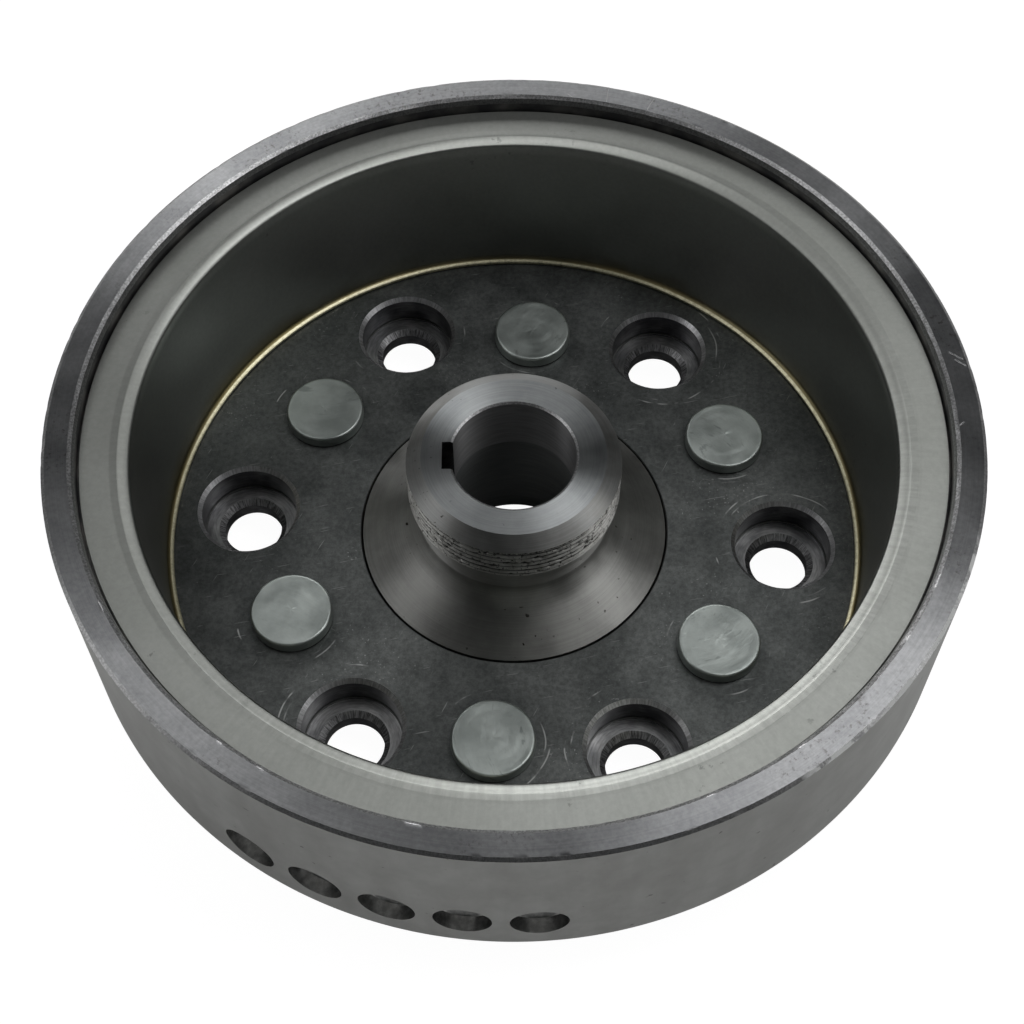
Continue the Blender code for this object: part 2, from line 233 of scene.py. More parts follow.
def revolve(name, strokes, steps, shape=None):
    """A turned mesh about Z. Each stroke is (material, outline), in (radius, height) pairs of millimetres,
    starts where the last one ended, and runs down the outer side. shape may move each point."""
    outline = [strokes[0][1][0]]
    owners = []
    materials = []
    for material, points in strokes:
        if material not in materials:
            materials.append(material)
        outline += points[1:]
        owners += [materials.index(material)] * (len(points) - 1)
    if math.dist(outline[0], outline[-1]) < SAME_POINT:
        outline.pop()
    verts = []
    rings = []
    for r, z in outline:
        count = 1 if r < SAME_POINT else steps
        rings.append([len(verts) + i % count for i in range(steps)])
        for i in range(count):
            angle = math.tau * i / steps
            moved_r, moved_z = shape(r, z, angle) if shape else (r, z)
            verts.append((moved_r * math.cos(angle) * MM, moved_r * math.sin(angle) * MM, moved_z * MM))
    faces = []
    slots = []
    for i, owner in enumerate(owners):
        upper = rings[i]
        lower = rings[(i + 1) % len(rings)]
        for j in range(steps):
            k = (j + 1) % steps
            corners = list(dict.fromkeys((upper[j], lower[j], lower[k], upper[k])))
            faces.append(corners)
            slots.append(owner)
    mesh = bpy.data.meshes.new(name)
    mesh.from_pydata(verts, [], faces)
    for material in materials:
        mesh.materials.append(material)
    mesh.polygons.foreach_set("material_index", slots)
    obj = bpy.data.objects.new(name, mesh)
    link(obj)
    return obj


def placed(source, matrix):
    """A cutter that shares the source's mesh, at another place."""
    obj = source.copy()
    obj.matrix_world = matrix
    link(obj)
    return obj


def on_circle(radius, degrees):
    """The matrix that puts a turned shape on a circle about the main axis."""
    return Matrix.Rotation(math.radians(degrees), 4, "Z") @ Matrix.Translation((radius * MM, 0.0, 0.0))


def cut(target, cutters):
    for cutter in cutters:
        boolean = target.modifiers.new(cutter.name, "BOOLEAN")
        boolean.operation = "DIFFERENCE"
        boolean.solver = "EXACT"
        boolean.material_mode = "TRANSFER"
        boolean.object = cutter


def settle(obj):
    """Applies the modifiers, then shades the faces smooth with sharp corners kept."""
    bpy.context.view_layer.update()
    evaluated = obj.evaluated_get(bpy.context.evaluated_depsgraph_get())
    mesh = bpy.data.meshes.new_from_object(evaluated)
    obj.modifiers.clear()
    obj.data = mesh
    mesh.shade_smooth()
    mesh.set_sharp_from_angle(angle=SHARP_ANGLE)


def keep(obj, slot, *nodes):
    """Makes a finished mesh stand for CAD nodes."""
    settle(obj)
    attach(obj, "root")
    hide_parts(*nodes)


# ---- material building


class Graph:
    """Short calls that build one material's nodes."""

    def __init__(self, name):
        self.material = bpy.data.materials.new(name)
        self.material.use_nodes = True
        self.tree = self.material.node_tree
        self.surface = self.tree.nodes["Principled BSDF"]
        self.position = self.node("TexCoord").outputs["Object"]

    def node(self, kind, inputs=None, **settings):
        made = self.tree.nodes.new("ShaderNode" + kind)
        for key, value in settings.items():
            setattr(made, key, value)
        for key, value in (inputs or {}).items():
            self.join(value, made.inputs[key])
        return made

    def join(self, value, socket):
        """Links another node's output, or sets a number, a vector or an opaque colour."""
        if isinstance(value, bpy.types.NodeSocket):
            self.tree.links.new(value, socket)
        else:
            socket.default_value = (*value, 1.0) if socket.type == "RGBA" else value

    def math(self, operation, a, b=0.0):
        return self.node("Math", {0: a, 1: b}, operation=operation).outputs[0]

    def product(self, first, *others):
        for other in others:
            first = self.math("MULTIPLY", first, other)
        return first

    def clamped(self, value):
        return self.node("Clamp", {0: value}).outputs[0]

    def vector(self, operation, a, b=(0.0, 0.0, 0.0)):
        made = self.node("VectorMath", {0: a, 1: b}, operation=operation)
        return made.outputs["Value" if operation == "LENGTH" else "Vector"]

    def dot(self, a, b):
        return self.node("VectorMath", {0: a, 1: b}, operation="DOT_PRODUCT").outputs["Value"]

    def scaled(self, vector, factor):
        return self.node("VectorMath", {0: vector, "Scale": factor}, operation="SCALE").outputs[0]

    def split(self, vector):
        return self.node("SeparateXYZ", {0: vector}).outputs

    def span(self, value, low, high, start=0.0, end=1.0, smooth=True):
        """start below low, end above high, and a smooth change between them."""
        kind = "SMOOTHSTEP" if smooth else "LINEAR"
        inputs = {0: value, 1: low, 2: high, 3: start, 4: end}
        return self.node("MapRange", inputs, interpolation_type=kind).outputs[0]

    def spread(self, value, start=0.0, end=1.0):
        """A noise's usual range, stretched to run from start to end."""
        return self.span(value, *NOISE_RANGE, start, end)

    def blend(self, mask, off, on):
        """One value where the mask is 0, another where it is 1."""
        return self.span(mask, 0.0, 1.0, off, on)

    def band(self, value, middle, half, soft):
        """1 within half of middle, and 0 beyond half plus soft."""
        distance = self.math("ABSOLUTE", self.math("SUBTRACT", value, middle))
        return self.span(distance, half, half + soft, 1.0, 0.0)

    def noise(self, vector, scale, detail=3.0, roughness=0.5):
        inputs = {"Vector": vector, "Scale": scale, "Detail": detail, "Roughness": roughness}
        return self.node("TexNoise", inputs).outputs[0]

    def grain(self, scale, detail=3.0, roughness=0.5):
        return self.noise(self.position, scale, detail, roughness)

    def mix(self, a, b, factor, blend="MIX"):
        inputs = {0: factor, 6: a, 7: b}
        return self.node("Mix", inputs, data_type="RGBA", blend_type=blend).outputs[2]

    def shade(self, colour, value):
        """The colour made darker or brighter by a value."""
        grey = self.node("CombineXYZ", {0: value, 1: value, 2: value}).outputs[0]
        return self.mix(colour, grey, 1.0, "MULTIPLY")

    def polar(self, position):
        """The distance from the axis and the outward direction, both flat."""
        flat = self.vector("MULTIPLY", position, (1.0, 1.0, 0.0))
        return self.vector("LENGTH", flat), self.vector("NORMALIZE", flat)

    def towards(self, outward, degrees):
        """How much the outward direction points to one side: 1 at that angle, -1 opposite."""
        return self.dot(outward, (*flat_point(1.0, degrees), 0.0))

    def marks(self, around, across, detail=2.0, roughness=0.5, position=None):
        """Noise for tool marks. Low around and high across makes grooves along the turning."""
        position = self.position if position is None else position
        radius, outward = self.polar(position)
        height = self.split(position)[2]
        profile = self.math("SUBTRACT", radius, self.product(height, HEIGHT_IN_MARKS))
        lift = self.node("CombineXYZ", {2: self.product(profile, across)}).outputs[0]
        return self.noise(self.vector("ADD", self.scaled(outward, around), lift), 1.0, detail, roughness)

    def folded(self, start_degrees, circle_mm):
        """Coordinates about the axis of the nearest of six equal features on a circle."""
        x, y, _ = self.split(self.position)
        step = math.tau / FASTENERS
        turn = self.math("DIVIDE", self.math("SUBTRACT", self.math("ARCTAN2", y, x),
                                             math.radians(start_degrees)), step)
        whole = self.math("ROUND", turn)
        angle = self.math("ADD", self.product(whole, step), math.radians(start_degrees))
        back = self.product(angle, -1.0)
        rotate = self.node("VectorRotate", {"Vector": self.position, "Angle": back},
                           rotation_type="Z_AXIS").outputs[0]
        return self.vector("SUBTRACT", rotate, (circle_mm * MM, 0.0, 0.0))

    def stroke(self, start, end, half_width):
        """1 along a straight mark between two flat points, in millimetres."""
        first = Vector((*start, 0.0)) * MM
        along = Vector((*end, 0.0)) * MM - first
        flat = self.vector("MULTIPLY", self.position, (1.0, 1.0, 0.0))
        offset = self.vector("SUBTRACT", flat, tuple(first))
        reach = self.clamped(self.dot(offset, tuple(along / along.length_squared)))
        nearest = self.scaled(tuple(along), reach)
        distance = self.vector("LENGTH", self.vector("SUBTRACT", offset, nearest))
        return self.span(distance, half_width * MM, 2.0 * half_width * MM, 1.0, 0.0)

    def bump(self, *layers):
        """The normal after each layer's height and depth in millimetres, one on top of the other."""
        normal = {}
        for height, depth in layers:
            made = self.node("Bump", {"Height": height, "Distance": depth * MM, "Strength": 1.0, **normal})
            normal = {"Normal": made.outputs[0]}
        return normal["Normal"]

    def finish(self, base_color, metallic=1.0, **inputs):
        inputs.update(base_color=base_color, metallic=metallic)
        for key, value in inputs.items():
            self.join(value, self.surface.inputs[key.replace("_", " ").title()])
        return self.material

    def around_axis(self):
        return self.node("Tangent", direction_type="RADIAL", axis="Z").outputs[0]

    def brushed(self, amount):
        """Highlights stretched across the turning marks."""
        self.join(self.around_axis(), self.surface.inputs["Tangent"])
        self.surface.inputs["Anisotropic"].default_value = amount
        self.surface.inputs["Anisotropic Rotation"].default_value = QUARTER_TURN


# ---- materials


def rim_steel():
    """Turned rim: concentric grooves, cross hatch from the tool's return, rust specks and scratches."""
    g = Graph("rim_steel")
    g.brushed(0.95)
    grooves = g.marks(1.5, 5200.0)
    chatter = g.marks(160.0, 900.0)
    cloud = g.grain(60.0, 4.0, 0.6)
    mottle = g.grain(1500.0, 2.0, 0.7)
    specks = g.span(g.grain(1400.0, 4.0, 0.65), 0.54, 0.68)
    speck_area = g.span(g.grain(52.0, 3.0, 0.6), 0.50, 0.62)
    rust = g.product(specks, speck_area, 0.5)
    colour = g.mix((0.33, 0.335, 0.345), (0.50, 0.505, 0.515), g.spread(cloud))
    colour = g.shade(colour, g.spread(grooves, 0.93, 1.04))
    colour = g.shade(colour, g.span(mottle, 0.25, 0.75, 0.89, 1.08))
    colour = g.mix(colour, (0.09, 0.075, 0.06), rust)
    knocks = 0.0
    for degrees, inner, outer, turn in RIM_KNOCKS:
        knock = g.stroke(flat_point(inner, degrees), flat_point(outer, degrees + turn), KNOCK_HALF_WIDTH)
        knocks = g.math("MAXIMUM", knocks, knock)
    colour = g.mix(colour, (0.78, 0.78, 0.78), g.product(knocks, 0.5))
    normal = g.bump((grooves, 0.0015), (knocks, -0.04), (chatter, 0.004), (mottle, 0.003))
    rough = g.spread(cloud, 0.36, 0.44)
    return g.finish(colour, roughness=rough, normal=normal)


def wall_steel():
    """Outer wall: fine turning marks under a soft, slightly stained satin."""
    g = Graph("wall_steel")
    g.brushed(0.55)
    grooves = g.marks(3.0, 4200.0)
    cloud = g.marks(9.0, 60.0, 5.0, 0.6)
    mottle = g.grain(260.0, 3.0, 0.6)
    pits = g.span(g.grain(700.0, 1.0), 0.74, 0.80)
    colour = g.mix((0.30, 0.30, 0.29), (0.41, 0.415, 0.405), g.spread(cloud))
    colour = g.shade(colour, g.span(mottle, 0.2, 0.8, 0.90, 1.06))
    colour = g.mix(colour, (0.08, 0.075, 0.07), g.product(pits, 0.7))
    normal = g.bump((grooves, 0.0025), (mottle, 0.006))
    return g.finish(colour, roughness=g.spread(cloud, 0.30, 0.40), normal=normal)


def edge_steel(name, low, high, roughness, depth):
    """A cut edge: a fine sparkle of chatter between two greys, deeper or shallower."""
    g = Graph(name)
    chatter = g.grain(3000.0, 2.0, 0.7)
    cloud = g.grain(240.0, 3.0, 0.6)
    tone = g.math("ADD", g.product(g.spread(chatter), 0.7), g.product(cloud, 0.3))
    colour = g.mix((low, low, 1.01 * low), (high, high, 1.01 * high), tone)
    return g.finish(colour, roughness=roughness, normal=g.bump((chatter, depth)))


def rim_bevel_steel():
    """The rim's outer bevel: smooth grey, knocked rough and bright along one stretch."""
    g = Graph("bevel_steel")
    outward = g.polar(g.position)[1]
    chatter = g.grain(3000.0, 2.0, 0.7)
    chips = g.span(g.grain(420.0, 3.0, 0.65), 0.40, 0.50)
    stretch = g.span(g.towards(outward, CHIPPED_ANGLE), 0.93, 0.965)
    knocked = g.product(stretch, chips)
    colour = g.mix((0.36, 0.36, 0.364), (0.60, 0.60, 0.606), g.spread(chatter))
    colour = g.mix(colour, (0.92, 0.93, 0.92), knocked)
    return g.finish(colour, metallic=g.blend(knocked, 1.0, 0.0),
                    roughness=g.blend(knocked, 0.36, 0.6), normal=g.bump((chatter, 0.003)))


def mouth_steel():
    """The drum's mouth wall and its hidden magnet seat: turned steel, given a dark colour as painted shade
    for the gap above the liner.
    """
    g = Graph("mouth_steel")
    grooves = g.marks(4.0, 3000.0)
    stain = g.marks(14.0, 300.0, 4.0)
    colour = g.mix((0.10, 0.10, 0.105), (0.28, 0.27, 0.26), g.span(stain, 0.35, 0.75))
    return g.finish(colour, metallic=0.9, roughness=0.48, normal=g.bump((grooves, 0.006)))


def hole_rings(g):
    """Short bright arcs that a cutter's holder has rubbed around the screw holes and the rivets."""
    total = 0.0
    wobble = g.span(g.grain(55.0, 2.0), 0.3, 0.7, -0.5 * MM, 0.5 * MM, smooth=False)
    for start, circle, radii in (
        (SCREW_ANGLE, SCREW_CIRCLE, (10.3, 11.2)),
        (RIVET_ANGLE, RIVET_CIRCLE, (7.9, 8.6)),
    ):
        radius, _ = g.polar(g.folded(start, circle))
        radius = g.math("ADD", radius, wobble)
        for i, middle in enumerate(radii):
            line = g.band(radius, middle * MM, 0.02 * MM, 0.16 * MM)
            gaps = g.grain(95.0 + 40.0 * i, 3.0, 0.6)
            broken = g.span(gaps, 0.57, 0.66)
            total = g.math("ADD", total, g.product(line, broken))
    return total


def scratches(g, scale, stretch, angle, low, high):
    """Thin straight scratches in one direction: noise stretched along it."""
    turned = g.node("VectorRotate", {"Vector": g.position, "Angle": math.radians(angle)},
                    rotation_type="Z_AXIS").outputs[0]
    thin = g.vector("MULTIPLY", turned, (stretch, 1.0, 1.0))
    return g.span(g.noise(thin, scale, 1.0), low, high)


def floor_steel():
    """The drum's floor: rolled plate left dark by pickling, blotchy, with specks and rubbed arcs."""
    g = Graph("floor_steel")
    blotch = g.grain(85.0, 5.0, 0.65)
    large = g.grain(28.0, 3.0, 0.5)
    grain = g.grain(1500.0, 3.0, 0.7)
    fleck = g.span(g.grain(2400.0, 1.0), 0.68, 0.76)
    fleck_area = g.span(g.grain(60.0, 3.0, 0.6), 0.50, 0.66)
    colour = g.mix((0.10, 0.107, 0.105), (0.165, 0.174, 0.170), g.span(blotch, 0.34, 0.68))
    colour = g.shade(colour, g.spread(large, 0.82, 1.12))
    colour = g.shade(colour, g.span(grain, 0.25, 0.75, 0.72, 1.22))
    bright = g.product(fleck, fleck_area, 0.4)
    marks = hole_rings(g)
    for scale, stretch, angle, low in ((4200.0, 0.06, -12.0, 0.72), (3600.0, 0.07, 118.0, 0.74)):
        scratch = g.product(scratches(g, scale, stretch, angle, low, low + 0.08), 0.4)
        marks = g.math("ADD", marks, scratch)
    bright = g.clamped(g.math("ADD", bright, g.product(marks, 0.75)))
    colour = g.mix(colour, (0.62, 0.63, 0.62), bright)
    normal = g.bump((grain, 0.012), (blotch, 0.03))
    return g.finish(colour, metallic=0.85, roughness=g.spread(blotch, 0.42, 0.54), normal=normal)


def under_steel():
    """The drum's underside, pickled like its floor but cleaner."""
    g = Graph("under_steel")
    blotch = g.grain(70.0, 5.0, 0.65)
    grain = g.grain(1200.0, 3.0, 0.7)
    colour = g.mix((0.15, 0.155, 0.15), (0.26, 0.265, 0.26), g.spread(blotch))
    colour = g.shade(colour, g.span(grain, 0.25, 0.75, 0.8, 1.15))
    return g.finish(colour, metallic=0.9, roughness=0.46, normal=g.bump((grain, 0.01)))


def hole_steel(name, marks, cloud, dark, bright, groove_tone, roughness, depth):
    """Faces cut about each screw hole's own axis: a cloudy tone and fine marks around that axis."""
    g = Graph(name)
    marks = g.marks(*marks, position=g.folded(SCREW_ANGLE, SCREW_CIRCLE))
    colour = g.mix(dark, bright, g.span(g.grain(*cloud), 0.3, 0.75))
    colour = g.shade(colour, g.spread(marks, groove_tone, 1.2))
    return g.finish(colour, roughness=roughness, normal=g.bump((marks, depth)))


def hole_chamfer_steel(name, low, high):
    """Chamfers at the screw holes: fine chatter around each hole's own axis, cleaner in some places."""
    g = Graph(name)
    local = g.folded(SCREW_ANGLE, SCREW_CIRCLE)
    chatter = g.marks(24.0, 2600.0, 3.0, 0.7, position=local)
    wide = g.grain(150.0, 2.0)
    colour = g.mix((low, low, 1.02 * low), (high, high, 1.02 * high), g.span(chatter, 0.34, 0.66))
    colour = g.shade(colour, g.span(wide, 0.35, 0.65, 0.7, 1.0))
    return g.finish(colour, roughness=0.42, normal=g.bump((chatter, 0.02)))


def drilled_steel():
    """The balance drillings: bright drilled walls, which look dark for want of light."""
    g = Graph("drilled_steel")
    marks = g.grain(900.0, 3.0, 0.6)
    colour = g.mix((0.40, 0.40, 0.395), (0.74, 0.74, 0.73), g.span(marks, 0.3, 0.75))
    return g.finish(colour, roughness=0.28, normal=g.bump((marks, 0.006)))


def hub_steel(name, dark, bright, roughness, brushed, pits):
    """Turned hub faces: grooves, a cloudy tone and a few dark pits."""
    g = Graph(name)
    g.brushed(brushed)
    grooves = g.marks(1.2, 5200.0)
    cloud = g.grain(120.0, 5.0, 0.6)
    spots = g.span(g.grain(1000.0, 1.5), 0.70, 0.76)
    area = g.span(g.grain(110.0, 2.0), 0.46, 0.60)
    colour = g.mix(dark, bright, g.spread(cloud))
    colour = g.shade(colour, g.spread(grooves, 0.92, 1.06))
    colour = g.mix(colour, (0.05, 0.045, 0.04), g.product(spots, area, pits))
    normal = g.bump((grooves, 0.003), (cloud, 0.008))
    rough = g.spread(cloud, roughness - 0.04, roughness + 0.06)
    return g.finish(colour, roughness=rough, normal=normal)


def thread_steel():
    """The puller thread: worn crests, dark grooves and dark pits."""
    g = Graph("thread_steel")
    g.brushed(0.93)
    radius, _ = g.polar(g.position)
    dirt_noise = g.marks(26.0, 1500.0, 4.0, 0.7)
    low = g.span(radius, (THREAD_RADIUS - 0.22) * MM, (THREAD_RADIUS - 0.04) * MM, 1.0, 0.0)
    pits = g.span(dirt_noise, 0.56, 0.64)
    height = g.split(g.position)[2]
    torn_band = g.band(height, (THREAD_TOP - 0.22) * MM, 0.05 * MM, 0.14 * MM)
    torn = g.product(torn_band, g.span(dirt_noise, 0.40, 0.54))
    dark = g.math("MAXIMUM", g.math("MAXIMUM", low, pits), torn)
    cloud = g.grain(500.0, 3.0, 0.6)
    colour = g.mix((0.60, 0.595, 0.57), (0.84, 0.835, 0.81), g.spread(cloud))
    colour = g.mix(colour, (0.045, 0.042, 0.038), g.product(dark, 0.9))
    return g.finish(colour, roughness=g.blend(dark, 0.58, 0.7), normal=g.bump((dirt_noise, 0.03)))


def bore_steel():
    """The ground taper, brighter above its top end than below."""
    g = Graph("bore_steel")
    g.brushed(0.92)
    height = g.split(g.position)[2]
    marks = g.marks(2.0, 3600.0)
    above = g.span(height, (TAPER_TOP - 0.15) * MM, (TAPER_TOP + 0.15) * MM)
    colour = g.mix((0.24, 0.25, 0.25), (0.40, 0.40, 0.405), above)
    colour = g.shade(colour, g.spread(marks, 0.85, 1.1))
    return g.finish(colour, roughness=0.40, normal=g.bump((marks, 0.004)))


def below(g, value, fade):
    """1 below a fade's first value in millimetres, 0 above its second."""
    return g.span(value, fade[0] * MM, fade[1] * MM, 1.0, 0.0)


def lip_colour(g, radius, outward, streaks, shoulder, sunk):
    """Satin grey with scuffs and streaked where it is sunk; painted shade darkens it away from the sunk
    side, darkens the shoulder on that side, and darkens one more side.
    """
    cloud = g.grain(40.0, 4.0, 0.6)
    satin = g.grain(1400.0, 3.0, 0.6)
    scuffs = g.span(g.grain(620.0, 4.0, 0.65), 0.60, 0.68)
    scuff_area = g.span(g.grain(42.0, 3.0, 0.6), 0.55, 0.66)
    facing = g.towards(outward, LIP_STEP_ANGLE)
    pressed_side = g.span(facing, -0.1, 0.7)
    streaky = g.product(g.blend(pressed_side, 0.2, 1.0), g.blend(sunk, 0.35, 1.0))
    ring = g.product(g.band(radius, *(size * MM for size in STEP_RING)), pressed_side)
    colour = g.mix((0.47, 0.485, 0.455), (0.53, 0.545, 0.515), g.spread(cloud))
    colour = g.mix(colour, g.shade(colour, g.spread(streaks, 0.91, 1.08)), streaky)
    colour = g.shade(colour, g.blend(ring, 1.0, 0.96))
    colour = g.shade(colour, g.span(satin, 0.25, 0.75, 0.95, 1.05))
    colour = g.shade(colour, g.blend(g.product(scuffs, scuff_area), 1.0, 0.66))
    # Painted shade: the lip darker away from the step's side, and the shoulder darker on the step's side.
    stained = g.shade(colour, g.span(facing, -0.95, 0.6, 0.52, 1.08))
    worn_smooth = g.shade(colour, g.span(facing, -0.6, 0.8, 1.05, 0.74))
    colour = g.mix(stained, worn_smooth, shoulder)
    # Painted shade on the lip, its sunk part and the shoulder, deepest at the shade angle.
    lip_dull, sunk_dull, shoulder_dull = (
        g.span(g.towards(outward, LIP_DULL_ANGLE), 0.45, 0.95, 1.0, tone) for tone in LIP_DULL_TONES
    )
    return g.shade(colour, g.mix(g.mix(lip_dull, sunk_dull, sunk), shoulder_dull, shoulder))


def foot_colour(g, colour, height):
    """Olive patches low on the wall, then the gilt bend and the pale foot below it."""
    cloud = g.grain(40.0, 4.0, 0.6)
    satin = g.grain(1400.0, 3.0, 0.6)
    oily = g.product(below(g, height, OIL_FADE), g.span(g.marks(2.6, 90.0, 3.0, 0.6), 0.40, 0.62))
    gilt = g.mix((0.12, 0.10, 0.035), (0.27, 0.22, 0.10), g.span(cloud, 0.35, 0.65))
    on_foot = g.product(below(g, height, FOOT_FADE), g.span(satin, 0.3, 0.6, 0.6, 1.0))
    colour = g.mix(colour, (0.20, 0.18, 0.10), g.product(oily, 0.7))
    colour = g.mix(colour, gilt, g.product(below(g, height, GILT_FADE), 0.85))
    return g.mix(colour, (0.80, 0.76, 0.54), on_foot)


def liner_steel():
    """Drawn sheet: satin lip with fine radial streaks, burnished shoulder, a wall in painted shade with
    olive patches low down, and a gilt foot.
    """
    g = Graph("liner_steel")
    radius, outward = g.polar(g.position)
    height = g.split(g.position)[2]
    shoulder = below(g, radius, SHOULDER_FADE)
    sunk = below(g, radius, SUNK_FADE)
    on_wall = below(g, height, WALL_FADE)
    lift = g.node("CombineXYZ", {2: g.product(radius, 160.0)}).outputs[0]
    streaks = g.noise(g.vector("ADD", g.scaled(outward, 90.0), lift), 1.0, 3.0, 0.6)
    streaks = g.mix((0.5, 0.5, 0.5), streaks, g.math("SUBTRACT", 1.0, on_wall))
    colour = lip_colour(g, radius, outward, streaks, shoulder, sunk)
    # The wall takes 0.72 of the lip's colour: painted shade inside the cup.
    colour = foot_colour(g, g.mix(colour, g.shade(colour, 0.72), on_wall), height)
    normal = g.bump((g.grain(1400.0, 3.0, 0.6), 0.004), (g.marks(3.0, 1600.0), 0.002), (streaks, 0.0015))
    rough = g.math("SUBTRACT", g.blend(sunk, 0.50, 0.42), g.product(shoulder, 0.04))
    drawn = g.product(g.math("SUBTRACT", shoulder, on_wall), 0.70)
    return g.finish(colour, roughness=rough, normal=normal, tangent=g.around_axis(),
                    anisotropic=g.clamped(drawn))


def rivet_zinc():
    """Zinc plated rivet heads with swirls and dents from the riveting tool."""
    g = Graph("rivet_zinc")
    local = g.folded(RIVET_ANGLE, RIVET_CIRCLE)
    swirl = g.marks(2.2, 1500.0, 4.0, 0.6, position=local)
    seeded = g.vector("ADD", local, g.scaled(g.position, 0.35))
    dents = g.marks(2.6, 700.0, 3.0, 0.65, position=seeded)
    cloud = g.grain(190.0, 4.0, 0.6)
    dark = g.span(dents, 0.60, 0.72)
    colour = g.mix((0.42, 0.46, 0.44), (0.55, 0.595, 0.57), g.spread(cloud))
    colour = g.mix(colour, (0.17, 0.19, 0.185), g.product(dark, 0.5))
    normal = g.bump((swirl, 0.012), (dents, 0.05))
    return g.finish(colour, metallic=0.95, roughness=g.spread(cloud, 0.36, 0.46), normal=normal)


def magnet_ferrite():
    """Dark grainy ferrite with a few chips."""
    g = Graph("magnet_ferrite")
    grain = g.grain(1800.0, 3.0, 0.7)
    chips = g.span(g.grain(350.0, 2.0), 0.66, 0.72)
    colour = g.mix((0.035, 0.035, 0.038), (0.07, 0.07, 0.075), grain)
    colour = g.mix(colour, (0.12, 0.12, 0.12), chips)
    return g.finish(colour, metallic=0.3, roughness=0.62, normal=g.bump((grain, 0.02)))


def cage_plastic():
    """Black moulded plastic with flow marks."""
    g = Graph("cage_plastic")
    grain = g.grain(2500.0, 2.0)
    flow = g.marks(6.0, 200.0, 3.0)
    colour = g.mix((0.018, 0.018, 0.018), (0.035, 0.035, 0.034), flow)
    return g.finish(colour, metallic=0.0, roughness=0.55, normal=g.bump((grain, 0.01)))


# ---- cutters


def rivet_hole(materials):
    radius = RIVET_SHANK_RADIUS + FIT_GAP
    top = FLOOR_TOP + CUT_OVERSHOOT
    bottom = FLANGE_BOTTOM - CUT_OVERSHOOT
    tail_top = RIVET_TAIL_TOP + FIT_GAP * (math.sqrt(2.0) - 1.0)
    outline = [(0.0, top), (radius, top), (radius, tail_top),
               (radius + tail_top - bottom, bottom), (0.0, bottom)]
    return revolve("rivet_cut", [(materials["bored_in_shade"], outline)], HOLE_STEPS)


def screw_hole(materials):
    """A counterbore with a chattered mouth chamfer, a seat just inside the flange and a chamfered hole."""
    mouth = 0.65
    hole_bevel = 0.9
    exit_bevel = 0.4
    over = CUT_OVERSHOOT
    joint = 0.5 * (FLANGE_TOP + DRUM_BOTTOM)
    seat = FLANGE_TOP - SCREW_SEAT_DEPTH
    edge = 0.12
    end = FLANGE_BOTTOM - over
    chattered = (FLOOR_TOP - mouth, seat - hole_bevel)

    def chatter(r, z, angle):
        if min(abs(z - height) for height in chattered) > SAME_HEIGHT:
            return r, z
        steady = 0.004 * math.sin(47.0 * angle)
        return r, z + steady + 0.03 * ripple(angle, z, per_turn=60.0, per_mm=0.2, seed=7.0)

    chamfer = [(0.0, FLOOR_TOP + over), (COUNTERBORE_RADIUS + mouth + over, FLOOR_TOP + over),
               (COUNTERBORE_RADIUS + edge, FLOOR_TOP - mouth + edge),
               (COUNTERBORE_RADIUS, FLOOR_TOP - mouth)]
    wall = [chamfer[-1], (COUNTERBORE_RADIUS, joint), (SCREW_SEAT_RADIUS, joint), (SCREW_SEAT_RADIUS, seat)]
    floor = [wall[-1], (SCREW_HOLE_RADIUS + hole_bevel, seat)]
    lower_chamfer = [floor[-1], (SCREW_HOLE_RADIUS, seat - hole_bevel)]
    lower = [lower_chamfer[-1], (SCREW_HOLE_RADIUS, FLANGE_BOTTOM + exit_bevel),
             (SCREW_HOLE_RADIUS + exit_bevel + over, end), (0.0, end)]
    strokes = [
        (materials["hole_chamfer"], chamfer),
        (materials["bored_in_shade"], wall),
        (materials["seat"], floor),
        (materials["seat_chamfer"], lower_chamfer),
        (materials["bored_in_shade"], lower),
    ]
    return revolve("screw_cut", strokes, HOLE_STEPS, chatter)


def balance_hole(materials):
    cone = BALANCE_RADIUS / math.tan(math.radians(DRILL_POINT_ANGLE / 2.0))
    outline = [(0.0, CUT_OVERSHOOT), (BALANCE_RADIUS, CUT_OVERSHOOT), (BALANCE_RADIUS, -BALANCE_DEPTH),
               (0.0, -BALANCE_DEPTH - cone)]
    return revolve("balance_cut", [(materials["drilled"], outline)], HOLE_STEPS)


def keyway(materials):
    """A slot on the -X side of the bore that runs parallel to the taper."""
    slope = (BORE_WIDE_RADIUS - BORE_RADIUS) / (TAPER_TOP - FLANGE_BOTTOM)
    inner = 0.6 * BORE_RADIUS
    top_depth = BORE_RADIUS + KEY_DEPTH
    end_depth = top_depth + slope * HUB_TOP
    thickness = top_depth - inner
    bpy.ops.mesh.primitive_cube_add(size=1.0)
    slot = bpy.context.object
    slot.name = "keyway_cut"
    slot.location = ((0.5 * thickness - 0.5 * (top_depth + end_depth)) * MM, 0.0, 0.5 * HUB_TOP * MM)
    slot.rotation_euler = (0.0, math.atan(slope), 0.0)
    slot.scale = (thickness * MM, KEY_WIDTH * MM, (HUB_TOP + 8.0 * CUT_OVERSHOOT) * MM)
    slot.data.materials.append(materials["bored_in_shade"])
    return slot


def on_circles(cutter, circle, start):
    step = 360.0 / FASTENERS
    return [placed(cutter, on_circle(circle, start + i * step)) for i in range(FASTENERS)]


def balance_row(cutter):
    made = []
    sideways = Matrix.Rotation(math.pi / 2.0, 4, "Y")
    lift = Matrix.Translation((0.0, 0.0, BALANCE_HEIGHT * MM))
    for i in range(BALANCE_HOLES):
        degrees = BALANCE_MIDDLE_ANGLE + (i - (BALANCE_HOLES - 1) / 2.0) * BALANCE_STEP
        made.append(placed(cutter, lift @ on_circle(DRUM_RADIUS, degrees) @ sideways))
    return made


# ---- pieces


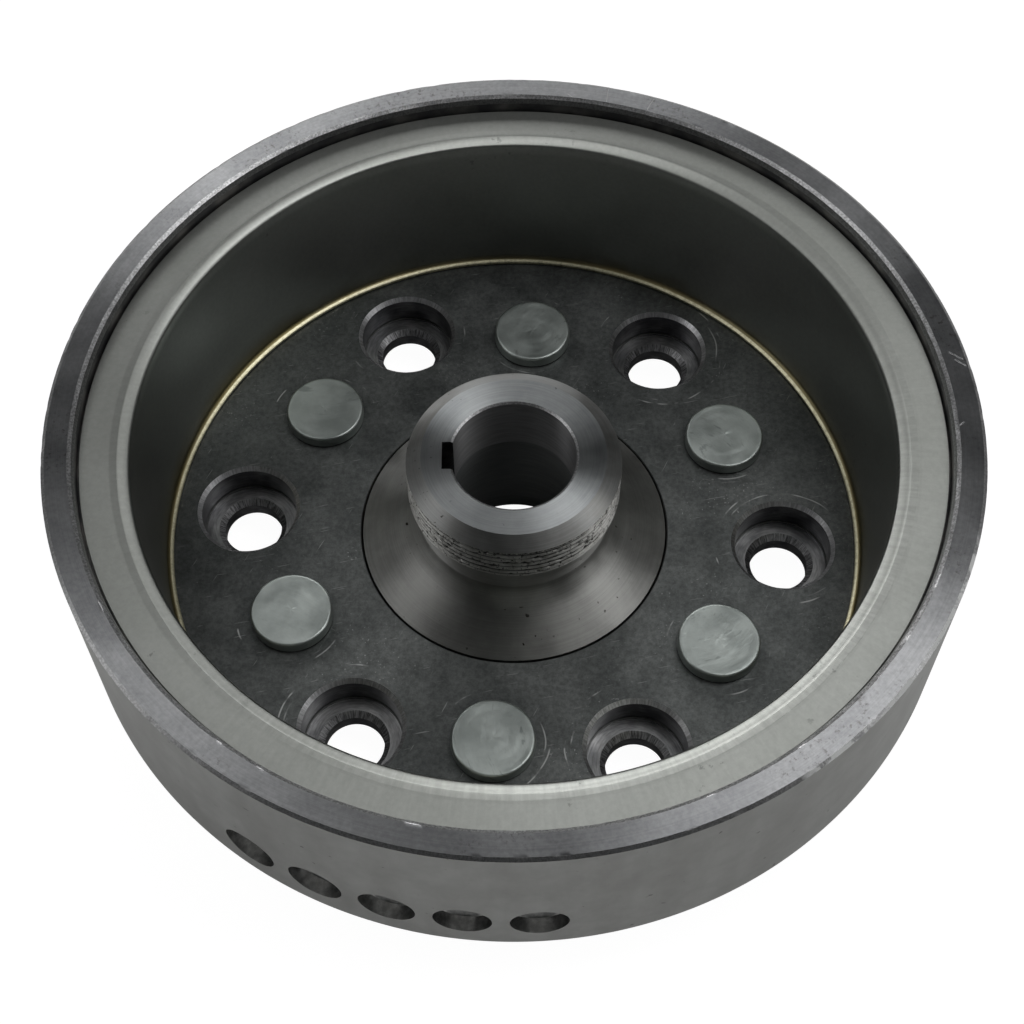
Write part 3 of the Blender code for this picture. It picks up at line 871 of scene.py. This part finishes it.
def build_drum(materials, cutters):
    """The drum's turned outline, worn at its rim, less the holes."""
    chamfer_width, chamfer_depth = 0.3, 1.3
    lead_width, lead_depth = 0.55, 0.4
    bevel_width, bevel_depth = 0.55, 0.38
    edge = 0.3
    deepest_wear = 0.3
    nicks_above = 0.3

    def worn(r, z, angle):
        """Uneven mouth edges, and small nicks along the rim's outer edge."""
        if z > RIM_TOP - 1.5 and r < MOUTH_RADIUS + 1.0:
            depth = min(deepest_wear, max(0.0, ripple(angle, r, per_turn=170.0, per_mm=1.0, seed=3.0)))
            return r + 0.08 * depth, z - 0.06 * depth
        if z > RIM_TOP - 1.0 and r > DRUM_RADIUS - 0.6:
            depth = max(0.0, ripple(angle, r, per_turn=260.0, per_mm=1.0, seed=5.0) - nicks_above)
            return r - 0.12 * depth, z - 0.12 * depth
        return r, z

    lead_start = MOUTH_RADIUS + chamfer_width
    chamfer = [(MOUTH_RADIUS, RIM_TOP - chamfer_depth), (lead_start, RIM_TOP - lead_depth)]
    lead = [chamfer[-1], (lead_start + lead_width, RIM_TOP)]
    face = [lead[-1], (DRUM_RADIUS - bevel_width, RIM_TOP)]
    bevel = [face[-1], (DRUM_RADIUS, RIM_TOP - bevel_depth)]
    corner_r, corner_z = DRUM_RADIUS - DRUM_CORNER_RADIUS, DRUM_BOTTOM + DRUM_CORNER_RADIUS
    corner = arc(corner_r, corner_z, DRUM_CORNER_RADIUS, 0.0, -90.0, 14)
    wall = [bevel[-1], *corner]
    under = [corner[-1], (HUB_HOLE_RADIUS + edge, DRUM_BOTTOM), (HUB_HOLE_RADIUS, DRUM_BOTTOM + edge),
             (HUB_HOLE_RADIUS, FLOOR_TOP - 0.5 * edge)]
    floor = [under[-1], (HUB_HOLE_RADIUS + 0.5 * edge, FLOOR_TOP), (MAGNET_SEAT_RADIUS, FLOOR_TOP)]
    inside = [floor[-1], (MAGNET_SEAT_RADIUS, LIP_SEAT), (MOUTH_RADIUS, LIP_SEAT), chamfer[0]]
    strokes = [
        (materials["chamfer"], fine(chamfer, 0.5)),
        (materials["lead"], fine(lead, 0.3)),
        (materials["rim"], fine(face, 0.6)),
        (materials["bevel"], fine(bevel, 0.3)),
        (materials["wall"], fine(wall, 2.5)),
        (materials["under"], fine(under, 4.0)),
        (materials["floor"], fine(floor, 4.0)),
        (materials["mouth"], fine(inside, 6.0)),
    ]
    drum = revolve("drum", strokes, DRUM_STEPS, worn)
    cut(drum, cutters)
    keep(drum, "drum_steel", "rotor_shell")


def hub_outside(materials):
    """Strokes from the bore's mouth over the face, thread and neck, down the flare to the barrel."""
    bore_bevel = [(BORE_RADIUS, HUB_TOP - BORE_BEVEL_HEIGHT), (BORE_RADIUS + BORE_BEVEL, HUB_TOP)]
    face = [bore_bevel[-1], (HUB_FACE_RADIUS, HUB_TOP)]
    bevel = [face[-1], (THREAD_RADIUS, THREAD_TOP)]
    thread = [bevel[-1], (THREAD_RADIUS, THREAD_BOTTOM)]
    curve = [(NECK_RADIUS + out * FLARE_FILLET, FLARE_START + up * FLARE_FILLET) for out, up in FLARE_CURVE]
    neck = [thread[-1], (NECK_RADIUS, THREAD_BOTTOM - UNDERCUT_SLOPE), curve[0]]
    flare = [*curve, (BARREL_RADIUS, FLOOR_TOP)]
    return [
        (materials["lead"], fine(bore_bevel, 0.4)),
        (materials["hub_face"], fine(face, 0.8)),
        (materials["hub_bevel"], fine(bevel, 0.4)),
        (materials["thread"], fine(thread, THREAD_RING_STEP)),
        (materials["neck"], fine(neck, 1.0)),
        (materials["flare"], fine(flare, 0.8)),
    ]


def build_hub(materials, cutters):
    """The hub's turned outline with its worn thread, less the holes and the keyway."""
    edge = 0.5
    top_fade = 0.5
    bottom_fade = 0.6
    torn_above = 0.22
    torn_depth = 0.5

    def worn(r, z, angle):
        """The helical grooves, shallower where the crests are worn, with torn spots near the top."""
        if not (THREAD_BOTTOM - 0.01 <= z <= THREAD_TOP + 0.01 and r > THREAD_RADIUS - 0.01):
            return r, z
        phase = (z / THREAD_PITCH + angle / math.tau) % 1.0
        groove = max(0.0, 1.0 - abs(phase - 0.5) / (0.5 * THREAD_GROOVE_WIDTH))
        ends = min(1.0, (THREAD_TOP - z) / top_fade, (z - THREAD_BOTTOM) / bottom_fade)
        wear = 0.65 + 0.5 * ripple(angle, z, per_turn=30.0, per_mm=0.5, seed=11.0)
        torn = max(0.0, ripple(angle, z, per_turn=130.0, per_mm=1.6, seed=13.0) - torn_above)
        return r - ends * (THREAD_DEPTH * groove * wear + torn_depth * torn), z

    barrel = [(BARREL_RADIUS, FLOOR_TOP), (BARREL_RADIUS, FLANGE_TOP), (FLANGE_RADIUS - edge, FLANGE_TOP)]
    flange = [barrel[-1], (FLANGE_RADIUS, FLANGE_TOP - edge), (FLANGE_RADIUS, FLANGE_BOTTOM + edge),
              (FLANGE_RADIUS - edge, FLANGE_BOTTOM), (SPIGOT_RADIUS, FLANGE_BOTTOM), (SPIGOT_RADIUS, edge),
              (SPIGOT_RADIUS - edge, 0.0), (BORE_RELIEF_RADIUS, 0.0)]
    bore = [flange[-1], (BORE_RELIEF_RADIUS, FLANGE_BOTTOM), (BORE_WIDE_RADIUS, FLANGE_BOTTOM + edge),
            (BORE_RADIUS, TAPER_TOP), (BORE_RADIUS, HUB_TOP - BORE_BEVEL_HEIGHT)]
    strokes = hub_outside(materials) + [
        (materials["under"], fine(barrel, 3.0)),
        (materials["flange"], fine(flange, 3.0)),
        (materials["bore"], fine(bore, 2.0)),
    ]
    hub = revolve("hub_turned", strokes, HUB_STEPS, worn)
    cut(hub, cutters)
    keep(hub, "hub_steel", "hub")


def build_liner(materials):
    """Sheet of one thickness: the side that shows, then its back."""
    edge = 0.12
    steep, flat = (90.0 + tilt for tilt in SHOULDER_TILTS)
    turn_r = WALL_RADIUS + WALL_DRAFT + SHOULDER_RADIUS
    crown_r = turn_r + (SHOULDER_RADIUS - SHOULDER_CROWN_RADIUS) * math.cos(math.radians(steep))
    edge_r = crown_r + (SHOULDER_CROWN_RADIUS - SHOULDER_EDGE_RADIUS) * math.cos(math.radians(flat))
    edge_z = LIP_TOP - SHOULDER_EDGE_RADIUS
    crown_z = edge_z - (SHOULDER_CROWN_RADIUS - SHOULDER_EDGE_RADIUS) * math.sin(math.radians(flat))
    turn_z = crown_z - (SHOULDER_RADIUS - SHOULDER_CROWN_RADIUS) * math.sin(math.radians(steep))
    foot_r = WALL_RADIUS - FOOT_BEND
    foot_z = FLOOR_TOP + FIT_GAP + LINER_THICKNESS + FOOT_BEND
    foot_bend = arc(foot_r, foot_z, FOOT_BEND, FOOT_TILT - 90.0, 0.0, 9)
    foot_drop = (foot_bend[0][0] - FOOT_RADIUS - edge) * math.tan(math.radians(FOOT_TILT))
    foot_edge = foot_bend[0][1] - foot_drop
    front = [(FOOT_RADIUS, foot_edge - edge), (FOOT_RADIUS + edge, foot_edge), *foot_bend,
             *arc(turn_r, turn_z, SHOULDER_RADIUS, 180.0, steep, 11),
             *arc(crown_r, crown_z, SHOULDER_CROWN_RADIUS, steep, flat, 9)[1:],
             *arc(edge_r, edge_z, SHOULDER_EDGE_RADIUS, flat, 90.0, 4)[1:],
             *fine([(LIP_STEP_RADII[1] - 0.6, LIP_TOP), (LIP_STEP_RADII[1] + 0.4, LIP_TOP)], 0.1),
             (LIP_RADIUS - edge, LIP_TOP), (LIP_RADIUS, LIP_TOP - edge)]
    back = [front[-1], (LIP_RADIUS, LIP_TOP - LINER_THICKNESS),
            *arc(crown_r, crown_z, SHOULDER_CROWN_RADIUS - LINER_THICKNESS, flat, steep, 6),
            *arc(turn_r, turn_z, SHOULDER_RADIUS - LINER_THICKNESS, steep, 180.0, 7)[1:],
            *arc(foot_r, foot_z, FOOT_BEND + LINER_THICKNESS, 0.0, -90.0, 9),
            (FOOT_RADIUS, foot_z - FOOT_BEND - LINER_THICKNESS), front[0]]

    def pressed(r, z, angle):
        """Not quite flat or round after pressing, and sunk at the lip's inner part on one side."""
        near_top = min(1.0, max(0.0, (z - LIP_TOP + 6.0) / 4.0))
        inner, outer = LIP_STEP_RADII
        inward = min(1.0, max(0.0, (outer - r) / (outer - inner)))
        side = 0.5 + 0.5 * math.cos(angle - math.radians(LIP_STEP_ANGLE))
        uneven = 0.02 + 0.02 * ripple(angle, r, per_turn=30.0, per_mm=0.2, seed=19.0)
        sideways = 0.0
        if r < LIP_RADIUS - 1.0:
            sideways = 0.05 * ripple(angle, 0.0, per_turn=22.0, per_mm=1.0, seed=17.0)
        return r + near_top * sideways, z - near_top * (LIP_STEP * side * inward + uneven)

    liner = revolve("liner", [(materials["liner"], fine(front + back[1:], 2.0))], LINER_STEPS, pressed)
    keep(liner, "liner_steel", "magnet_liner")


def build_rivets(materials):
    """Six rivets, each struck a little differently."""
    head_bottom = FLOOR_TOP + FIT_GAP
    edge = 0.45
    for i in range(FASTENERS):

        def struck(r, z, angle, seed=31.0 + 5.0 * i):
            if z < RIVET_TOP - 1.5:
                return r, z
            dent = 0.02
            if r < RIVET_HEAD_RADIUS - 0.5:
                dent = 0.05 * (1.0 + ripple(angle, r, per_turn=6.0, per_mm=0.9, seed=seed))
            burr = 0.0
            if r > RIVET_HEAD_RADIUS - 0.9:
                burr = 0.07 * ripple(angle, 0.0, per_turn=16.0, per_mm=1.0, seed=seed + 1.0) - 0.03
            crown = 0.05 * (r / RIVET_HEAD_RADIUS) ** 2
            return r + min(0.0, burr), z - dent - crown

        rounded = arc(RIVET_HEAD_RADIUS - edge, RIVET_TOP - edge, edge, 90.0, 0.0, 7)
        top = fine([(0.0, RIVET_TOP), rounded[0]], 0.4)
        outline = [*top, *rounded[1:], (RIVET_HEAD_RADIUS, head_bottom), (RIVET_SHANK_RADIUS, head_bottom),
                   (RIVET_SHANK_RADIUS, RIVET_TAIL_TOP), (RIVET_TAIL_RADIUS, RIVET_TAIL_END),
                   (0.0, RIVET_TAIL_END)]
        rivet = revolve(f"rivet_head_{i + 1}", [(materials["rivet"], outline)], RIVET_STEPS, struck)
        rivet.data.transform(on_circle(RIVET_CIRCLE, RIVET_ANGLE + i * 360.0 / FASTENERS))
        keep(rivet, "rivet_zinc", f"rivet_{i + 1}")


def dress_cad_nodes(materials):
    """The magnets and their cage keep their CAD shape, behind the liner."""
    for name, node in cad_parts.items():
        if name.startswith("magnet_") and name != "magnet_liner":
            node.data.materials.clear()
            node.data.materials.append(materials["cage" if name == "magnet_cage" else "magnet"])


# ---- floor, lights, camera


def build_floor():
    """A pale floor: white to the camera, matt with a faint glow to the object, clear from below."""
    bpy.ops.mesh.primitive_plane_add(size=6.0, location=(0.0, 0.0, HUB_LOW.z * MM))
    floor = bpy.context.object
    floor.name = "studio_floor"
    g = Graph("studio_floor")
    tree = g.tree
    tree.nodes.remove(g.surface)
    ray = g.node("LightPath").outputs["Is Camera Ray"]
    behind = g.node("NewGeometry").outputs["Backfacing"]
    seen_glow = g.node("Emission", {"Color": (1.0, 1.0, 1.0), "Strength": 0.97}).outputs[0]
    seen_matt = g.node("BsdfDiffuse", {"Color": (0.18, 0.18, 0.18)}).outputs[0]
    seen = g.node("AddShader", {0: seen_glow, 1: seen_matt}).outputs[0]
    bounce_matt = g.node("BsdfDiffuse", {"Color": (0.80, 0.80, 0.79)}).outputs[0]
    radius, _ = g.polar(g.position)
    glow = g.span(radius, 0.75 * DRUM_RADIUS * MM, 1.1 * DRUM_RADIUS * MM, 0.0, 0.15)
    bounce_glow = g.node("Emission", {"Color": (1.0, 1.0, 1.0), "Strength": glow}).outputs[0]
    bounce = g.node("AddShader", {0: bounce_glow, 1: bounce_matt}).outputs[0]
    clear = g.node("BsdfTransparent").outputs[0]
    above = g.node("MixShader", {0: ray, 1: bounce, 2: seen}).outputs[0]
    both = g.node("MixShader", {0: behind, 1: above, 2: clear}).outputs[0]
    tree.links.new(both, tree.nodes["Material Output"].inputs["Surface"])
    floor.data.materials.append(g.material)


def build_world():
    """A dim room that looks white only to the camera."""
    world = bpy.data.worlds.new("studio")
    world.use_nodes = True
    bpy.context.scene.world = world
    tree = world.node_tree
    background = tree.nodes["Background"]
    background.inputs["Color"].default_value = (0.95, 0.98, 1.0, 1.0)
    background.inputs["Strength"].default_value = 0.035
    white = tree.nodes.new("ShaderNodeBackground")
    ray = tree.nodes.new("ShaderNodeLightPath")
    mix = tree.nodes.new("ShaderNodeMixShader")
    tree.links.new(ray.outputs["Is Camera Ray"], mix.inputs[0])
    tree.links.new(background.outputs[0], mix.inputs[1])
    tree.links.new(white.outputs[0], mix.inputs[2])
    tree.links.new(mix.outputs[0], tree.nodes["World Output"].inputs["Surface"])


def soft_light(name, azimuth, elevation, size, power):
    """A soft light of some width and height that faces the origin. Azimuth is from +X towards +Y."""
    light = bpy.data.lights.new(name, "AREA")
    light.shape = "RECTANGLE"
    light.size, light.size_y = size
    light.energy = power
    obj = bpy.data.objects.new(name, light)
    around = math.radians(azimuth)
    up = math.radians(elevation)
    outward = Vector((math.cos(up) * math.cos(around), math.cos(up) * math.sin(around), math.sin(up)))
    obj.location = outward * LIGHT_DISTANCE
    obj.rotation_euler = outward.to_track_quat("Z", "Y").to_euler()
    link(obj)


def build_camera():
    """The photographer's view: close, from the front, well above the rim."""
    elevation = math.radians(57.855)
    roll = math.radians(-0.375)
    distance = 259.589 * MM
    target = Vector((-0.339, -16.988, RIM_TOP)) * MM
    back = Vector((0.0, -math.cos(elevation), math.sin(elevation)))
    camera = bpy.data.objects.new("camera", bpy.data.cameras.new("camera"))
    camera.data.sensor_width = 36.0
    camera.data.lens = 63.365
    camera.data.clip_start = 0.01
    camera.data.clip_end = 20.0
    camera.location = target + back * distance
    rolled = Matrix.Rotation(roll, 3, "Z").to_quaternion()
    camera.rotation_euler = (back.to_track_quat("Z", "Y") @ rolled).to_euler()
    link(camera)
    bpy.context.scene.camera = camera


def make_materials():
    return {
        "rim": rim_steel(),
        "wall": wall_steel(),
        "chamfer": edge_steel("chamfer_steel", 0.18, 0.42, 0.44, 0.012),
        "lead": edge_steel("mouth_edge_steel", 0.26, 0.80, 0.36, 0.020),
        "bevel": rim_bevel_steel(),
        "mouth": mouth_steel(),
        "floor": floor_steel(),
        "under": under_steel(),
        # The bored walls are near black: painted shade in the holes.
        "bored_in_shade": hole_steel("bored_in_shade_steel", (3.0, 4500.0), (300.0, 3.0),
                            (0.055, 0.055, 0.062), (0.15, 0.15, 0.155), 0.75, 0.36, 0.006),
        "seat": hole_steel("seat_steel", (4.0, 4200.0), (200.0, 4.0),
                           (0.26, 0.265, 0.27), (0.56, 0.56, 0.56), 0.8, 0.34, 0.010),
        "hole_chamfer": hole_chamfer_steel("hole_chamfer_steel", 0.55, 0.88),
        "seat_chamfer": hole_chamfer_steel("seat_chamfer_steel", 0.22, 0.85),
        "drilled": drilled_steel(),
        "thread": thread_steel(),
        "bore": bore_steel(),
        "liner": liner_steel(),
        "rivet": rivet_zinc(),
        "magnet": magnet_ferrite(),
        "cage": cage_plastic(),
        **{name: hub_steel(f"{name}_steel", *values) for name, values in HUB_FACES.items()},
    }


def build_object():
    materials = make_materials()
    sources = [rivet_hole(materials), screw_hole(materials), balance_hole(materials)]
    rivet_cuts = on_circles(sources[0], RIVET_CIRCLE, RIVET_ANGLE)
    screw_cuts = on_circles(sources[1], SCREW_CIRCLE, SCREW_ANGLE)
    balance_cuts = balance_row(sources[2])
    slot = keyway(materials)
    build_drum(materials, rivet_cuts + screw_cuts + balance_cuts)
    build_hub(materials, rivet_cuts + screw_cuts + [slot])
    for cutter in (*sources, *rivet_cuts, *screw_cuts, *balance_cuts, slot):
        bpy.data.objects.remove(cutter, do_unlink=True)
    build_liner(materials)
    build_rivets(materials)
    dress_cad_nodes(materials)


build_object()
build_floor()
build_world()
for light_values in LIGHTS:
    soft_light(*light_values)
build_camera()
bpy.context.scene.view_settings.view_transform = "Standard"
